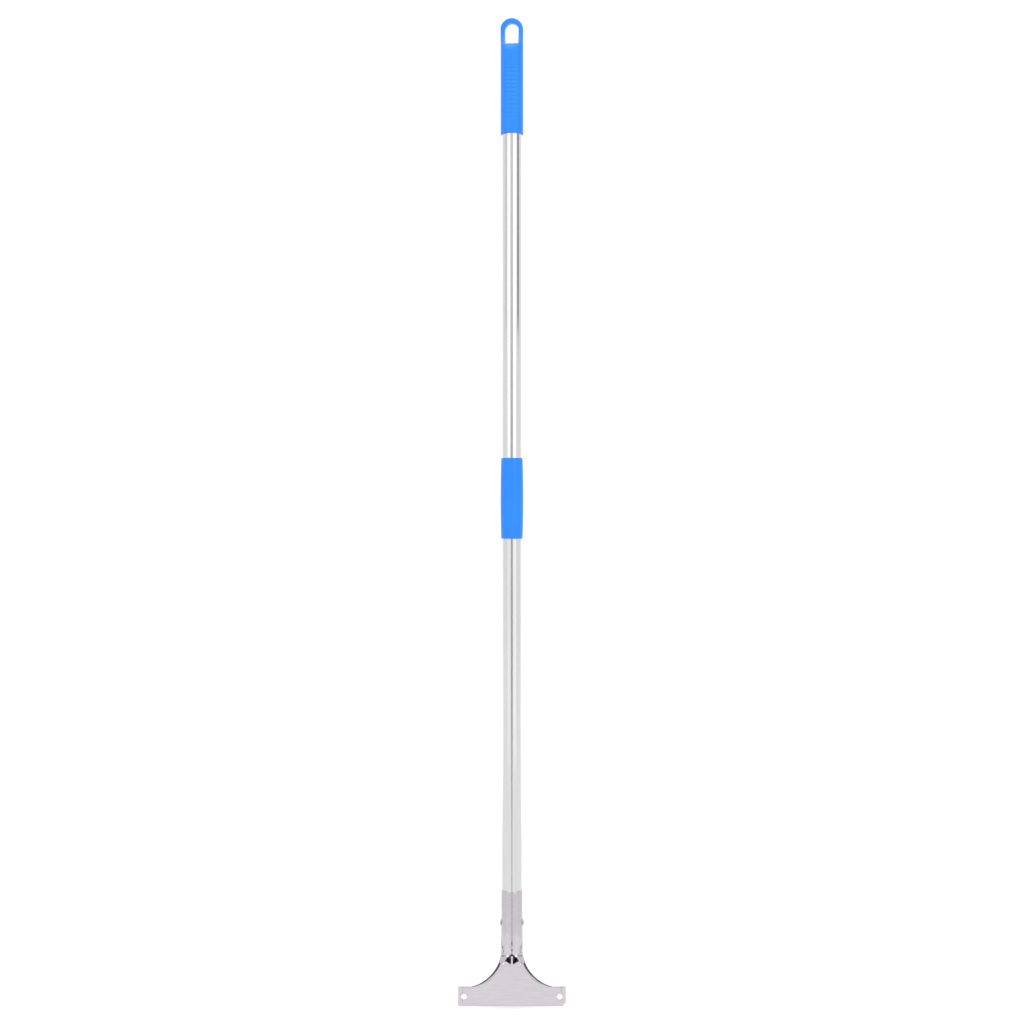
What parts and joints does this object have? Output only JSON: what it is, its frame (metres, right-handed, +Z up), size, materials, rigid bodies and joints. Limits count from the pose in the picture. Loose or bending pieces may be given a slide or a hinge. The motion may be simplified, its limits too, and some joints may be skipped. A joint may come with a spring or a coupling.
{
  "type": "long-handled pool wall tool",
  "caption": "Two-section steel pole with a hanging grip, a screwed middle joint and a flared sheet-steel head that takes a bolt-on brush, pad or blade.",
  "frame": {"origin": "on the pole's axis, level with the head's working edge, which is the lowest line of the part", "axes": "+Z up the pole to the hanging loop, +X across the plate to the viewer's right, +Y away from the viewer, who faces the socket's seam"},
  "size_m": [0.12, 0.0256, 1.0962],
  "materials": {
    "blue_plastic": "satin moulded polypropylene, bright blue",
    "tube_steel": "polished stainless tube with fine lengthwise polishing lines",
    "insert_plastic": "natural white moulded nylon",
    "seal_rubber": "black rubber",
    "head_steel": "polished stainless sheet",
    "rivet_steel": "plain stainless blind rivet",
    "pin_steel": "snapped steel mandrel stem"
  },
  "bodies": {
    "upper_section": {"hang_grip": "blue_plastic", "upper_tube": "tube_steel", "screw_plug": "insert_plastic"},
    "joint_seal": {"joint_washer": "seal_rubber"},
    "lower_section": {"screw_socket": "insert_plastic", "joint_sleeve": "blue_plastic", "lower_tube": "tube_steel", "head_plate": "head_steel", "rivet_left": "rivet_steel", "rivet_right": "rivet_steel", "rivet_pin_left": "pin_steel", "rivet_pin_right": "pin_steel"}
  },
  "joints": [
    {"name": "section_turn", "type": "hinge", "parent": "upper_section", "child": "joint_seal", "pos_m": [0, 0, 0.565], "axis": [0, 0, -1], "range_deg": [0, 2340]},
    {"name": "section_draw", "type": "slide", "parent": "joint_seal", "child": "lower_section", "axis": [0, 0, -1], "range_m": [0, 0.02601]}
  ],
  "couplings": [
    {"joint": "section_draw", "follows": "section_turn", "m_per_rad": 0.00063662}
  ]
}
